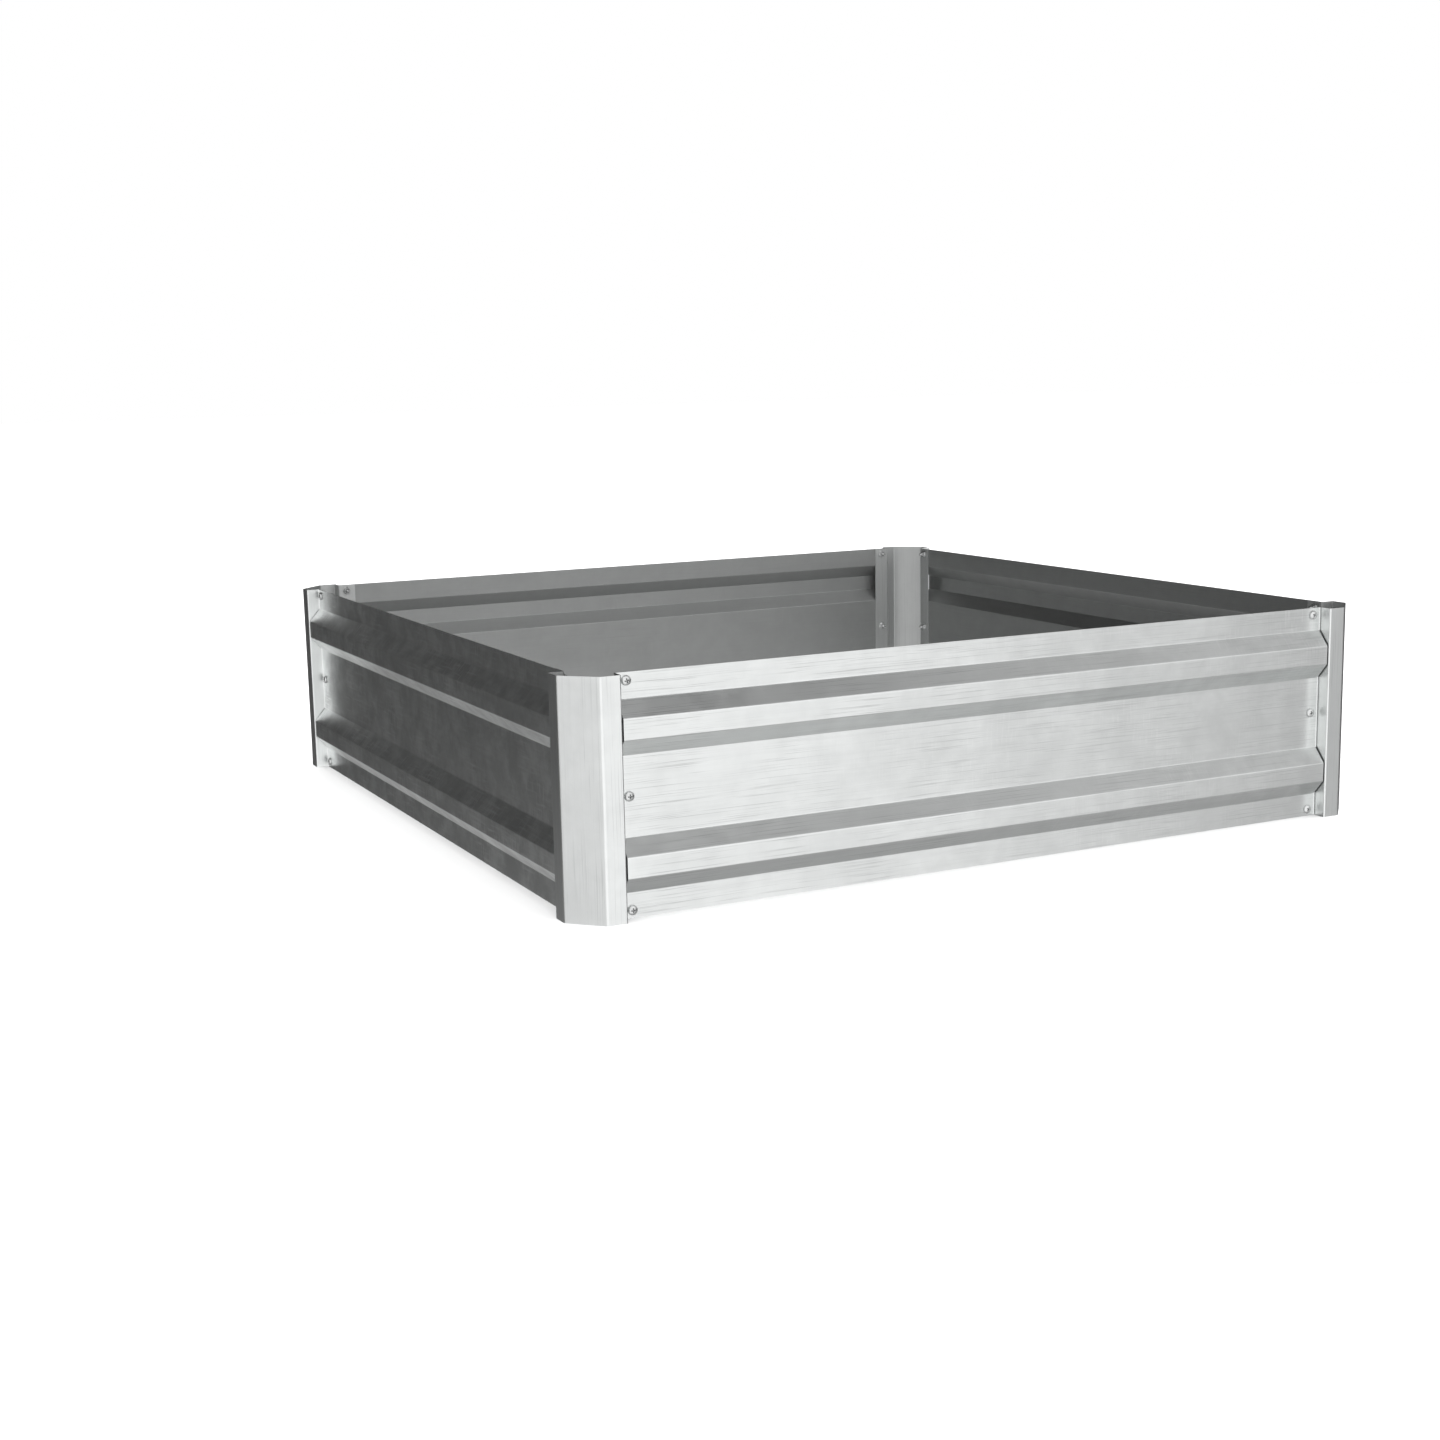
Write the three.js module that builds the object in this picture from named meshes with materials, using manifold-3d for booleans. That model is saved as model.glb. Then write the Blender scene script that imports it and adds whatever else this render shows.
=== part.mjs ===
// A square raised garden bed of galvanised sheet steel, open at the top and at the bottom.
// Four pressed side panels with two outward ribs each are bolted to four folded corner posts.
// Millimetres. The origin is at the centre of the base, X runs along the front panel,
// Y runs from the front to the back and Z is up.

import * as THREE from 'three';
import { mergeVertices } from 'three/addons/utils/BufferGeometryUtils.js';
import Module from 'manifold-3d';

// ---- Driving dimensions -------------------------------------------------------------------

// Whole bed, over the outer faces of the corner posts.
const BED_LENGTH = 1219;
const BED_WIDTH = 1219;
const BED_HEIGHT = 300;

// Side panel: one sheet with a rib near its top edge and a rib near its bottom edge.
const PANEL_SHEET = 0.8;
const PANEL_BEND = 1.6;
const EDGE_FLAT = 32;
const RIB_SLOPE = 21;
const RIB_CREST = 26;
const RIB_DEPTH = 18;

// Corner post: flange, return wall, strip and corner face, then the same mirrored.
const POST_SHEET = 1;
const POST_BEND = 1;
const POST_CHAMFER = 40;
const POST_STRIP = 26.5;
const POST_STEP = 19.5;
const POST_FLANGE = 28;

// Fits between the sheets.
const SEAT_GAP = 0.3;
const END_GAP = 1;

// Fasteners: pan head bolts with a cross recess, and hexagon nuts with a flange.
const BOLT_SHANK = 6;
const BOLT_LENGTH = 12;
const BOLT_TIP = 0.8;
const HEAD_DIAMETER = 12.6;
const HEAD_RIM = 1.2;
const HEAD_HEIGHT = 3.8;
const RECESS_SPAN = 6;
const RECESS_WIDTH = 1.5;
const RECESS_DEPTH = 1.8;
const NUT_ACROSS_FLATS = 10;
const NUT_HEIGHT = 5.2;
const NUT_FLANGE_DIAMETER = 13;
const NUT_FLANGE_RIM = 0.9;
const NUT_FLANGE_SLOPE = 1.1;
const THREAD_CLEARANCE = 0.3;
const HOLE_CLEARANCE = 0.4;
const BOLT_EDGE = 10;

// Facets of the round forms.
const BEND_STEP = Math.PI / 7;
const ROUND_SIDES = 12;
const DOME_STEPS = 3;
const CUT_MARGIN = 1;

const SIDES = ['front', 'right', 'back', 'left'];
const LEVELS = ['lower', 'middle', 'upper'];

// ---- Sizes that follow --------------------------------------------------------------------

// How far the outer face of a panel's flats, the flange and the nut lie inside the post's strip.
const flangeFace = POST_STEP + PANEL_SHEET + SEAT_GAP;
const flangeInner = flangeFace + POST_SHEET;
const postReturn = POST_CHAMFER + POST_STRIP;
const panelEnd = postReturn + POST_BEND + END_GAP;
const boltFromCorner = postReturn + POST_FLANGE / 2;
const boltHeights = [BOLT_EDGE, BED_HEIGHT / 2, BED_HEIGHT - BOLT_EDGE];
const holeRadius = BOLT_SHANK / 2 + HOLE_CLEARANCE;

// ---- Materials ----------------------------------------------------------------------------

const panelSteel = new THREE.MeshStandardMaterial({
  color: 0xc3c6c7, roughness: 0.38, metalness: 0.9,
});
const postSteel = new THREE.MeshStandardMaterial({
  color: 0xced1d1, roughness: 0.34, metalness: 0.9,
});
const boltSteel = new THREE.MeshStandardMaterial({
  color: 0xbfc2c6, roughness: 0.25, metalness: 1,
});
const nutSteel = new THREE.MeshStandardMaterial({
  color: 0xb2b4b3, roughness: 0.32, metalness: 1,
});

// ---- Solids -------------------------------------------------------------------------------

const wasm = await Module();
wasm.setup();

// A closed geometry as a solid that can be cut and joined.
function solidOf(geometry) {
  const bare = geometry.clone();
  bare.deleteAttribute('normal');
  bare.deleteAttribute('uv');
  const merged = mergeVertices(bare, 1e-5);
  return new wasm.Manifold(new wasm.Mesh({
    numProp: 3,
    vertProperties: new Float32Array(merged.attributes.position.array),
    triVerts: new Uint32Array(merged.index.array),
  }));
}

// A solid back as a geometry.
function geometryOf(solid) {
  const mesh = solid.getMesh();
  const geometry = new THREE.BufferGeometry();
  const positions = new Float32Array(mesh.vertProperties);
  geometry.setAttribute('position', new THREE.BufferAttribute(positions, 3));
  geometry.setIndex(new THREE.BufferAttribute(new Uint32Array(mesh.triVerts), 1));
  geometry.computeVertexNormals();
  return geometry;
}

// A round rod along Y, to cut a hole with.
function rodAlongY(radius, length) {
  return solidOf(new THREE.CylinderGeometry(radius, radius, length, ROUND_SIDES));
}

// The outline of a bent sheet. The route is the line of one face, the sheet lies to the left of
// it, and every corner is an arc whose inner side has the radius given as bend.
function bentSheetOutline(route, sheet, bend) {
  const points = route.map(([x, y]) => new THREE.Vector2(x, y));
  const near = [];
  const far = [];
  const leftOf = (direction) => new THREE.Vector2(-direction.y, direction.x);
  const addEnd = (point, direction) => {
    near.push(point.clone());
    far.push(point.clone().addScaledVector(leftOf(direction), sheet));
  };
  const directions = points.slice(1).map((point, i) => point.clone().sub(points[i]).normalize());
  addEnd(points[0], directions[0]);
  for (let i = 1; i < points.length - 1; i += 1) {
    const before = directions[i - 1];
    const after = directions[i];
    const turn = Math.atan2(before.cross(after), before.dot(after));
    const side = Math.sign(turn);
    const nearRadius = side > 0 ? bend + sheet : bend;
    const farRadius = side > 0 ? bend : bend + sheet;
    const run = nearRadius * Math.tan(Math.abs(turn) / 2);
    const centre = points[i].clone().addScaledVector(before, -run);
    centre.addScaledVector(leftOf(before), side * nearRadius);
    const spoke = leftOf(before).multiplyScalar(-side);
    const steps = Math.max(1, Math.ceil(Math.abs(turn) / BEND_STEP));
    for (let k = 0; k <= steps; k += 1) {
      const arm = spoke.clone().rotateAround(new THREE.Vector2(), (turn * k) / steps);
      near.push(centre.clone().addScaledVector(arm, nearRadius));
      far.push(centre.clone().addScaledVector(arm, farRadius));
    }
  }
  addEnd(points[points.length - 1], directions[directions.length - 1]);
  return new THREE.Shape([...near, ...far.reverse()]);
}

// The outline pushed straight out by the length given.
function extruded(shape, length) {
  return new THREE.ExtrudeGeometry(shape, { depth: length, bevelEnabled: false });
}

// ---- Side panel ---------------------------------------------------------------------------

// The height and the outward reach of the panel's outer face, from the bottom edge to the top.
function panelRoute() {
  const ribBottom = EDGE_FLAT;
  const ribTop = ribBottom + 2 * RIB_SLOPE + RIB_CREST;
  const lowerRib = [
    [0, ribBottom],
    [RIB_DEPTH, ribBottom + RIB_SLOPE],
    [RIB_DEPTH, ribTop - RIB_SLOPE],
    [0, ribTop],
  ];
  const upperRib = lowerRib.map(([reach, height]) => [reach, BED_HEIGHT - height]).reverse();
  return [[0, 0], ...lowerRib, ...upperRib, [0, BED_HEIGHT]];
}

// A panel for a side of the given span. The outer face of its flats lies in the plane Y = 0,
// the ribs stand out towards -Y, and X runs along it from its middle.
function panelGeometry(span) {
  const length = span - 2 * panelEnd;
  const sheet = extruded(bentSheetOutline(panelRoute(), PANEL_SHEET, PANEL_BEND), length);
  const reach = new THREE.Vector3(0, -1, 0);
  const height = new THREE.Vector3(0, 0, 1);
  const along = new THREE.Vector3(-1, 0, 0);
  sheet.applyMatrix4(new THREE.Matrix4().makeBasis(reach, height, along));
  sheet.translate(length / 2, 0, 0);
  let panel = solidOf(sheet);
  for (const x of boltPlaces(span)) {
    for (const z of boltHeights) {
      const drill = rodAlongY(holeRadius, PANEL_SHEET + 2 * CUT_MARGIN);
      panel = panel.subtract(drill.translate([x, PANEL_SHEET / 2, z]));
    }
  }
  return geometryOf(panel);
}

// Where the bolts of a side lie along it, from its middle.
function boltPlaces(span) {
  const reach = span / 2 - boltFromCorner;
  return [-reach, reach];
}

// ---- Corner post --------------------------------------------------------------------------

// The outer face of a post in plan, from the end of one flange to the end of the other. The
// planes of the two strips meet at the plan's origin, and the bed lies towards +X and +Y.
function postRoute() {
  const half = [
    [postReturn + POST_FLANGE, flangeFace],
    [postReturn, flangeFace],
    [postReturn, 0],
    [POST_CHAMFER, 0],
  ];
  const mirrored = half.map(([x, y]) => [y, x]);
  return [...mirrored, ...half.reverse()];
}

function postGeometry() {
  let post = solidOf(extruded(bentSheetOutline(postRoute(), POST_SHEET, POST_BEND), BED_HEIGHT));
  const depth = flangeFace + POST_SHEET / 2;
  for (const z of boltHeights) {
    const drill = rodAlongY(holeRadius, POST_SHEET + 2 * CUT_MARGIN);
    post = post.subtract(drill.translate([boltFromCorner, depth, z]));
    const turned = drill.rotate([0, 0, 90]);
    post = post.subtract(turned.translate([depth, boltFromCorner, z]));
  }
  return geometryOf(post);
}

// ---- Fasteners ----------------------------------------------------------------------------

// A bolt along Y. The underside of its head lies at Y = 0 and the shank points to +Y.
function boltGeometry() {
  const shank = BOLT_SHANK / 2;
  const head = HEAD_DIAMETER / 2;
  const profile = [
    [0, -BOLT_LENGTH],
    [shank - BOLT_TIP, -BOLT_LENGTH],
    [shank, -BOLT_LENGTH + BOLT_TIP],
    [shank, 0],
    [head, 0],
  ];
  for (let k = 0; k <= DOME_STEPS; k += 1) {
    const angle = (k / DOME_STEPS) * (Math.PI / 2);
    const rise = HEAD_RIM + (HEAD_HEIGHT - HEAD_RIM) * Math.sin(angle);
    profile.push([head * Math.cos(angle), rise]);
  }
  profile[profile.length - 1][0] = 0;
  const points = profile.map(([x, y]) => new THREE.Vector2(x, y));
  let bolt = solidOf(new THREE.LatheGeometry(points, ROUND_SIDES));
  const cutHeight = RECESS_DEPTH + CUT_MARGIN;
  const floor = HEAD_HEIGHT - RECESS_DEPTH + cutHeight / 2;
  const slots = [
    new THREE.BoxGeometry(RECESS_SPAN, cutHeight, RECESS_WIDTH),
    new THREE.BoxGeometry(RECESS_WIDTH, cutHeight, RECESS_SPAN),
  ];
  const cross = solidOf(slots[0]).add(solidOf(slots[1]));
  bolt = bolt.subtract(cross.translate([0, floor, 0]));
  return geometryOf(bolt.rotate([180, 0, 0]));
}

// A nut along Y. Its flange rests at Y = 0 and its hexagon points to +Y.
function nutGeometry() {
  const rim = NUT_FLANGE_DIAMETER / 2;
  const bore = BOLT_SHANK / 2 + THREAD_CLEARANCE;
  const corner = NUT_ACROSS_FLATS / Math.sqrt(3);
  const slopeTop = NUT_FLANGE_RIM + NUT_FLANGE_SLOPE;
  const cone = [
    [0, 0],
    [rim, 0],
    [rim, NUT_FLANGE_RIM],
    [NUT_ACROSS_FLATS / 2, slopeTop],
    [0, slopeTop],
  ].map(([x, y]) => new THREE.Vector2(x, y));
  const flange = solidOf(new THREE.LatheGeometry(cone, ROUND_SIDES));
  const prism = solidOf(new THREE.CylinderGeometry(corner, corner, NUT_HEIGHT, 6));
  const body = flange.add(prism.translate([0, NUT_HEIGHT / 2, 0]));
  const drill = rodAlongY(bore, NUT_HEIGHT + 2 * CUT_MARGIN);
  return geometryOf(body.subtract(drill.translate([0, NUT_HEIGHT / 2, 0])));
}

// ---- The bed ------------------------------------------------------------------------------

function named(name, geometry, material) {
  const mesh = new THREE.Mesh(geometry, material);
  mesh.name = name;
  return mesh;
}

const bed = new THREE.Group();
const post = postGeometry();
const bolt = boltGeometry();
const nut = nutGeometry();

SIDES.forEach((sideName, k) => {
  const alongX = k % 2 === 0;
  const span = alongX ? BED_LENGTH : BED_WIDTH;
  const reach = (alongX ? BED_WIDTH : BED_LENGTH) / 2;
  const side = new THREE.Group();
  side.rotation.z = (k * Math.PI) / 2;

  const panel = named(`panel_${sideName}`, panelGeometry(span), panelSteel);
  panel.position.y = -reach + POST_STEP;
  side.add(panel);

  // The post at the left end of this side, seen from outside.
  const before = SIDES[(k + SIDES.length - 1) % SIDES.length];
  const after = SIDES[(k + 1) % SIDES.length];
  const corner = alongX ? `${sideName}_${before}` : `${before}_${sideName}`;
  const cornerPost = named(`post_${corner}`, post, postSteel);
  cornerPost.position.set(-span / 2, -reach, 0);
  side.add(cornerPost);

  boltPlaces(span).forEach((x, end) => {
    boltHeights.forEach((z, level) => {
      const place = `${sideName}_${end === 0 ? before : after}_${LEVELS[level]}`;
      const boltMesh = named(`bolt_${place}`, bolt, boltSteel);
      boltMesh.position.set(x, -reach + POST_STEP - SEAT_GAP, z);
      side.add(boltMesh);
      const nutMesh = named(`nut_${place}`, nut, nutSteel);
      nutMesh.position.set(x, -reach + flangeInner + SEAT_GAP, z);
      side.add(nutMesh);
    });
  });
  bed.add(side);
});

export default bed;
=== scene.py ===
"""A square raised garden bed of galvanised sheet steel, with its stage.

Four ribbed side panels stand between four folded corner posts, held by pan head bolts and flange
nuts. Every piece is a surface worked out as arrays, in metres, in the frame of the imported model:
X runs along the front panel, Y from front to back and Z up, from the centre of the base.
"""

import math

import bpy
import numpy as np
from bpy.props import FloatProperty, FloatVectorProperty, IntProperty, PointerProperty
from bpy.types import Operator, Panel, PropertyGroup
from mathutils import Matrix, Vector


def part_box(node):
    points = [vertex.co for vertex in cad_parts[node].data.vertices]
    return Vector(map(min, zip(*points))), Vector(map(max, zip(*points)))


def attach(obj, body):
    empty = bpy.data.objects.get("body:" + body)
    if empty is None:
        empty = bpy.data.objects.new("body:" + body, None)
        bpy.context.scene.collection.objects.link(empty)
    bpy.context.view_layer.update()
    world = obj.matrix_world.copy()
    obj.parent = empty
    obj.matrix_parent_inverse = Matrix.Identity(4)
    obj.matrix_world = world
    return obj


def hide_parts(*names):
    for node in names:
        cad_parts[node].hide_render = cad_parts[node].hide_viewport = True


bl_info = {
    "name": "Raised garden bed",
    "version": (1, 0, 0),
    "blender": (4, 5, 0),
    "location": "3D View > Sidebar > Garden bed",
    "description": "Builds a galvanised steel raised garden bed around its packed frame",
    "category": "Add Mesh",
}

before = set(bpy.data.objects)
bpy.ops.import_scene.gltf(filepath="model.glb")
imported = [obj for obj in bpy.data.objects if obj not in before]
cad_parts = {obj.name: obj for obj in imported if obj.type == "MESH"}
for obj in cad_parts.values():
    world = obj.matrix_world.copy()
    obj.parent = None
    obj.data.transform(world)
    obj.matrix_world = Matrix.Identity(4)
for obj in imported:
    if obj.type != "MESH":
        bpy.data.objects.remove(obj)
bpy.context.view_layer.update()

SIDES = ("front", "right", "back", "left")
BODY = "root"


# ---- Settings -----------------------------------------------------------------------------


def length(name, description, default):
    """A size in metres, for a property group."""
    return FloatProperty(name=name, description=description, default=default, min=0.0,
                         precision=5, subtype="DISTANCE", unit="LENGTH")


def share(name, description, default):
    """A strength from 0 to 1, for a property group."""
    return FloatProperty(name=name, description=description, default=default, min=0.0, max=1.0,
                         subtype="FACTOR")


def level(name, description, default):
    """The brightness of a light, for a property group."""
    return FloatProperty(name=name, description=description, default=default, min=0.0)


def tint(name, description, default):
    """A colour in linear light, for a property group."""
    return FloatVectorProperty(name=name, description=description, default=default, size=3,
                               min=0.0, max=1.0, subtype="COLOR")


class BedPanelSettings(PropertyGroup):
    """Sizes of the pressed side panels."""

    sheet: length("Sheet", "Thickness of the panel's sheet", 0.0008)
    bend: length("Bend", "Inside radius of the rib's bends", 0.0016)
    edge_flat: length("Edge flat", "Height of the flat beside each long edge", 0.032)
    rib_slope: length("Rib slope", "Height of each sloping side of a rib", 0.021)
    rib_crest: length("Rib crest", "Height of a rib's flat crest", 0.026)
    rib_depth: length("Rib depth", "How far a rib stands out", 0.018)
    wave: length("Wave", "How far the flats swell between the ribs", 0.00018)
    column: length("Column", "Distance between the mesh lines across the panel", 0.0125)
    colour: tint("Colour", "Colour of the panels' zinc coat", (0.785, 0.8, 0.795))
    # A painted shade: how far the panels' inner faces are painted darker.
    inside: share("Inside", "How much duller the panels' inner faces are", 0.85)
    streaks: share("Streaks", "Strength of the streaks along the panel", 1.0)
    streak_length: length("Streak length", "Length of the streaks", 0.13)
    streak_width: length("Streak width", "Width of the streaks", 0.0014)
    stain_size: length("Stain size", "Size of the weather stains", 0.13)
    # Weather and sheen at each end of each panel: it brings stains, brings pale strokes and bloom
    # that are partly a painted sheen, and fades the dark streaks.
    left_weather_and_sheen: FloatVectorProperty(
        name="Weather left", size=4, min=0.0, max=1.0, default=(0.0, 0.45, 0.5, 1.0),
        description="Weathering at the left end of the front, right, back and left panels")
    right_weather_and_sheen: FloatVectorProperty(
        name="Weather right", size=4, min=0.0, max=1.0, default=(0.4, 0.4, 0.5, 1.0),
        description="Weathering at the right end of the front, right, back and left panels")


class BedPostSettings(PropertyGroup):
    """Sizes of the folded corner posts."""

    sheet: length("Sheet", "Thickness of the post's sheet", 0.001)
    bend: length("Bend", "Inside radius of the folds beside the strips", 0.001)
    root_bend: length("Root bend", "Inside radius of the folds beside the flanges", 0.0019)
    corner_bend: length("Corner bend", "Inside radius of the corner face's folds", 0.0024)
    chamfer: length("Corner", "Leg of the corner face at 45 degrees", 0.04)
    strip: length("Strip", "Width of the flat strip beside the panel", 0.0265)
    wave: length("Wave", "How far the flats swell along the post", 0.00008)
    row: length("Row", "Distance between the mesh lines up the post", 0.0125)
    colour: tint("Colour", "Colour of the posts' zinc coat", (0.785, 0.8, 0.795))
    # A painted shade: how far the posts' inner faces are painted darker.
    inside: share("Inside", "How much duller the posts' inner faces are", 0.45)
    streaks: share("Streaks", "Strength of the streaks up the post", 0.5)
    streak_length: length("Streak length", "Length of the streaks", 0.2)
    streak_width: length("Streak width", "Width of the streaks", 0.0018)
    stain_size: length("Stain size", "Size of the weather stains", 0.11)
    # Weather and sheen of the posts: their stains, and pale strokes and bloom that are partly a
    # painted sheen.
    weather_and_sheen: share("Weather", "Weathering of the posts", 0.0)


class BedFastenerSettings(PropertyGroup):
    """Sizes of the bolts and the nuts."""

    shank: length("Shank", "Diameter of the bolt's thread", 0.006)
    thread_pitch: length("Pitch", "Distance between two turns of the thread", 0.001)
    thread_depth: length("Thread depth", "Depth of the thread's groove", 0.00045)
    rim: length("Head rim", "Height of the straight rim of the bolt's head", 0.0011)
    recess_span: length("Recess span", "Length of each arm of the cross recess, over both ends",
                        0.0062)
    recess_width: length("Recess width", "Width of the cross recess's arms", 0.00135)
    recess_depth: length("Recess depth", "Depth of the cross recess", 0.0019)
    flats: length("Across flats", "Size of the nut's hexagon over its flats", 0.01)
    flange_rim: length("Flange rim", "Thickness of the nut's flange at its edge", 0.0009)
    flange_slope: length("Flange slope", "Height of the flange's cone", 0.0011)
    thread_gap: length("Thread gap", "Room between the nut's bore and the bolt", 0.00028)
    bolt_colour: tint("Bolt", "Colour of the bolts' zinc plate", (0.72, 0.73, 0.728))
    nut_colour: tint("Nut", "Colour of the nuts' zinc plate", (0.66, 0.67, 0.67))


class BedFinishSettings(PropertyGroup):
    """Wear, with the painted highlight and sheen that go with it, that all the sheets share."""

    roughness: share("Roughness", "Roughness of the clean zinc coat", 0.285)
    stains: share("Stains", "Strength of the soft weather stains", 1.0)
    # Strength of the pale strokes and bloom, which are partly a painted sheen.
    strokes: share("Strokes", "Strength of the pale strokes across the grain", 0.8)
    # Edge wear and highlight: how much lighter bends and cut edges are painted, partly as wear and
    # partly as a painted highlight.
    edge_wear_and_highlight: share("Edge wear", "How far bends and cut edges are rubbed bright", 0.35)


class BedStageSettings(PropertyGroup):
    """Floor, light and camera."""

    floor_span: length("Floor", "Width of the floor", 60.0)
    floor_colour: tint("Floor colour", "Colour of the floor", (0.9, 0.9, 0.9))
    backdrop: level("Backdrop", "Brightness of the empty backdrop", 1.0)
    fill: level("Fill", "Brightness of the even light on the floor", 1.6)
    high_fill: level("High fill", "Brightness of the floor's light from above the right", 0.5)
    front_light: level("Front light", "Brightness of the large light at the front left", 1.18)
    high_light: level("High light", "Brightness of the light above the right", 0.61)
    lens: FloatProperty(name="Lens", description="Focal length on a 36 mm wide frame",
                        default=49.82, min=1.0, unit="CAMERA")
    camera_place: FloatVectorProperty(name="Camera place", description="Where the camera stands",
                                      default=(-1.4558, -2.7237, 0.6516), size=3,
                                      subtype="TRANSLATION", unit="LENGTH")
    camera_turn: FloatVectorProperty(
        name="Camera turn", description="Turn to the right, tilt upwards and roll",
        default=tuple(math.radians(a) for a in (26.195, -10.043, -1.192)), size=3,
        subtype="EULER", unit="ROTATION")


class BedSettings(PropertyGroup):
    """All settings of the bed and its stage."""

    panel: PointerProperty(type=BedPanelSettings)
    post: PointerProperty(type=BedPostSettings)
    fastener: PointerProperty(type=BedFastenerSettings)
    finish: PointerProperty(type=BedFinishSettings)
    stage: PointerProperty(type=BedStageSettings)
    seed: IntProperty(name="Seed", description="Number that the stains and waves start from",
                      default=7, min=0)


# ---- Sections of bent sheet ---------------------------------------------------------------

# The steps along a bend and along a flat. A flat has one more station this close to each of its
# ends, so that the shading of a bend stays on the bend.
ARC_STEP = math.radians(9)
FLAT_STEP = 0.0065
FLAT_SUPPORT = 0.0012

# Flats under the first width don't swell, and those over the second swell in full.
SWELL_WIDTHS = (0.03, 0.1)


def smooth(low, high, value):
    """0 below low, 1 above high and a smooth step between."""
    t = np.clip((value - low) / (high - low), 0, 1)
    return t * t * (3 - 2 * t)


class Section:
    """The cross section of a bent sheet, as one row of stations from edge to edge.

    near and far are the two faces, way is the length along the sheet, bend is 1 on the folds and
    swell is 1 in the middle of a wide flat and 0 at its folds.
    """

    def __init__(self, near, far, way, bend, swell):
        self.near, self.far, self.way, self.bend, self.swell = near, far, way, bend, swell


def flat_stations(width):
    """Shares from 0 to 1 along a flat: even steps, and one more beside each end."""
    steps = max(2, math.ceil(width / FLAT_STEP))
    even = np.linspace(0, 1, steps + 1)[1:-1]
    support = min(0.25, FLAT_SUPPORT / width)
    return np.unique(np.concatenate([[0, support], even, [1 - support, 1]]).round(9))


def bend_arcs(route, sheet, bends):
    """The near and far points of each round corner of a bent sheet, with a single pair of points
    for each end of the route.

    The two arcs of a corner share a centre: corner - run * before + radius * normal, with run =
    radius * tan(turn / 2). The sheet lies to the left of the route, so the far face's arc has the
    near one's radius less the sheet on a left turn, and more by the sheet on a right one.
    """
    legs = np.diff(route, axis=0)
    ahead = legs / np.linalg.norm(legs, axis=1)[:, None]
    left = np.stack([-ahead[:, 1], ahead[:, 0]], 1)
    arcs = [(route[:1], route[:1] + left[:1] * sheet)]
    for corner, bend, before, after, normal in zip(route[1:-1], bends, ahead, ahead[1:], left):
        cross = before[0] * after[1] - before[1] * after[0]
        turn = math.atan2(cross, before @ after)
        side = math.copysign(1, turn)
        near_radius, far_radius = (bend + sheet, bend) if side > 0 else (bend, bend + sheet)
        run = near_radius * math.tan(abs(turn) / 2)
        centre = corner - run * before + side * near_radius * normal
        start = math.atan2(-side * normal[1], -side * normal[0])
        angles = start + turn * np.linspace(0, 1, math.ceil(abs(turn) / ARC_STEP) + 1)
        spokes = np.stack([np.cos(angles), np.sin(angles)], 1)
        arcs.append((centre + near_radius * spokes, centre + far_radius * spokes))
    arcs.append((route[-1:], route[-1:] + left[-1:] * sheet))
    return arcs


def bent_section(route, sheet, bends):
    """The section of a sheet whose near face follows the route, with a round bend of the given
    inside radius at each corner, or of one radius at all of them.

    Each flat runs straight from one arc's last points to the next one's first: (1 - t) * last +
    t * first. Its swell is 4 t (1 - t), times a smooth step of its width.
    """
    route = np.asarray(route, float)
    arcs = bend_arcs(route, sheet, np.broadcast_to(bends, len(route) - 2))
    near, far, folds, swells = [], [], [], []
    for i, (near_arc, far_arc) in enumerate(arcs):
        round_corner = 0 < i < len(arcs) - 1
        near.append(near_arc)
        far.append(far_arc)
        folds.append(np.full(len(near_arc), float(round_corner)))
        swells.append(np.zeros(len(near_arc)))
        if i == len(arcs) - 1:
            break
        next_near, next_far = arcs[i + 1]
        width = np.linalg.norm(next_near[0] - near_arc[-1])
        t = flat_stations(width)[1:-1, None]
        near.append((1 - t) * near_arc[-1] + t * next_near[0])
        far.append((1 - t) * far_arc[-1] + t * next_far[0])
        folds.append(np.zeros(len(t)))
        swells.append((4 * t * (1 - t))[:, 0] * smooth(*SWELL_WIDTHS, width))
    near, far = np.concatenate(near), np.concatenate(far)
    way = np.concatenate([[0], np.cumsum(np.linalg.norm(np.diff(near, axis=0), axis=1))])
    return Section(near, far, way, np.concatenate(folds), np.concatenate(swells))


# ---- Meshes from grids --------------------------------------------------------------------

# Edges that turn by more than this are sharp.
SHARP_ANGLE = math.radians(32)

# A cut edge is worn, and painted with a highlight, this far in.
EDGE_REACH = 0.004

# How many waves make up a swell in the flats, and their least and greatest length.
WAVES = 5
WAVE_LENGTHS = (0.16, 0.5)


def grid_quads(index):
    """The quads of a grid of vertex numbers, row after row."""
    return np.stack([index[:-1, :-1], index[1:, :-1], index[1:, 1:], index[:-1, 1:]],
                    -1).reshape(-1, 4)


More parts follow.
